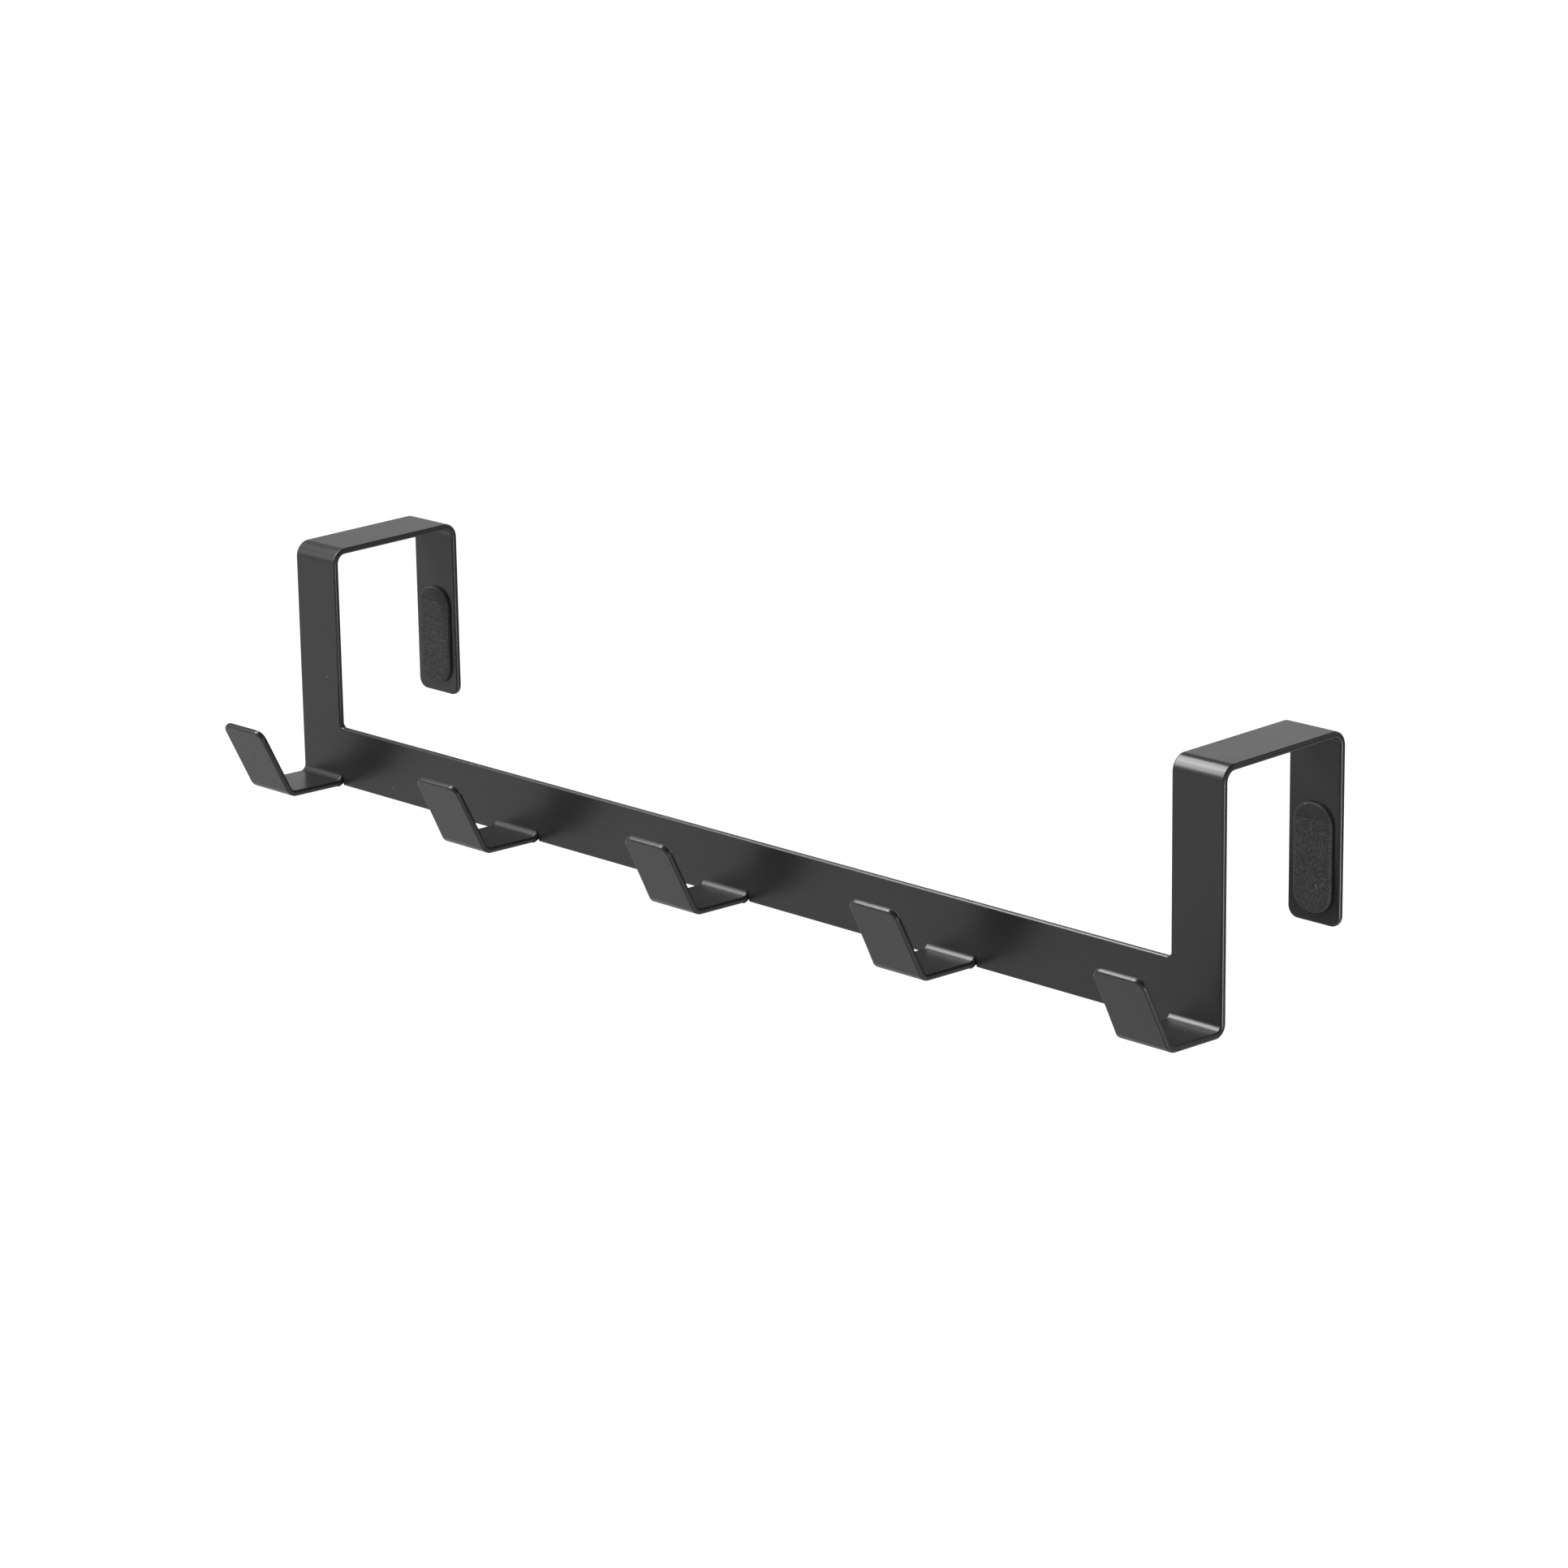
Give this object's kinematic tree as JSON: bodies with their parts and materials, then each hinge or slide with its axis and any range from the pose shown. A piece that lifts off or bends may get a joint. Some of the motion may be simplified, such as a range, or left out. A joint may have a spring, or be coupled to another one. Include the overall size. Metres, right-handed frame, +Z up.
{
  "type": "over-door hook rail",
  "caption": "Folded steel hook rail that hangs over the top of a door: two straps with padded legs carry a flat bar with upturned, slanted hooks.",
  "frame": {"origin": "centre of the bar's back face, which lies against the near face of the door", "axes": "+X along the bar, +Y into the door, +Z up; the hooks stand out towards -Y"},
  "size_m": [0.4, 0.0884, 0.08],
  "materials": {
    "powder_coat": "satin black powder coat on folded steel sheet",
    "foam": "matte black closed-cell foam with a fine speckle"
  },
  "bodies": {
    "root": {"hook_rail": "powder_coat", "pad_left": "foam", "pad_right": "foam"}
  },
  "joints": []
}
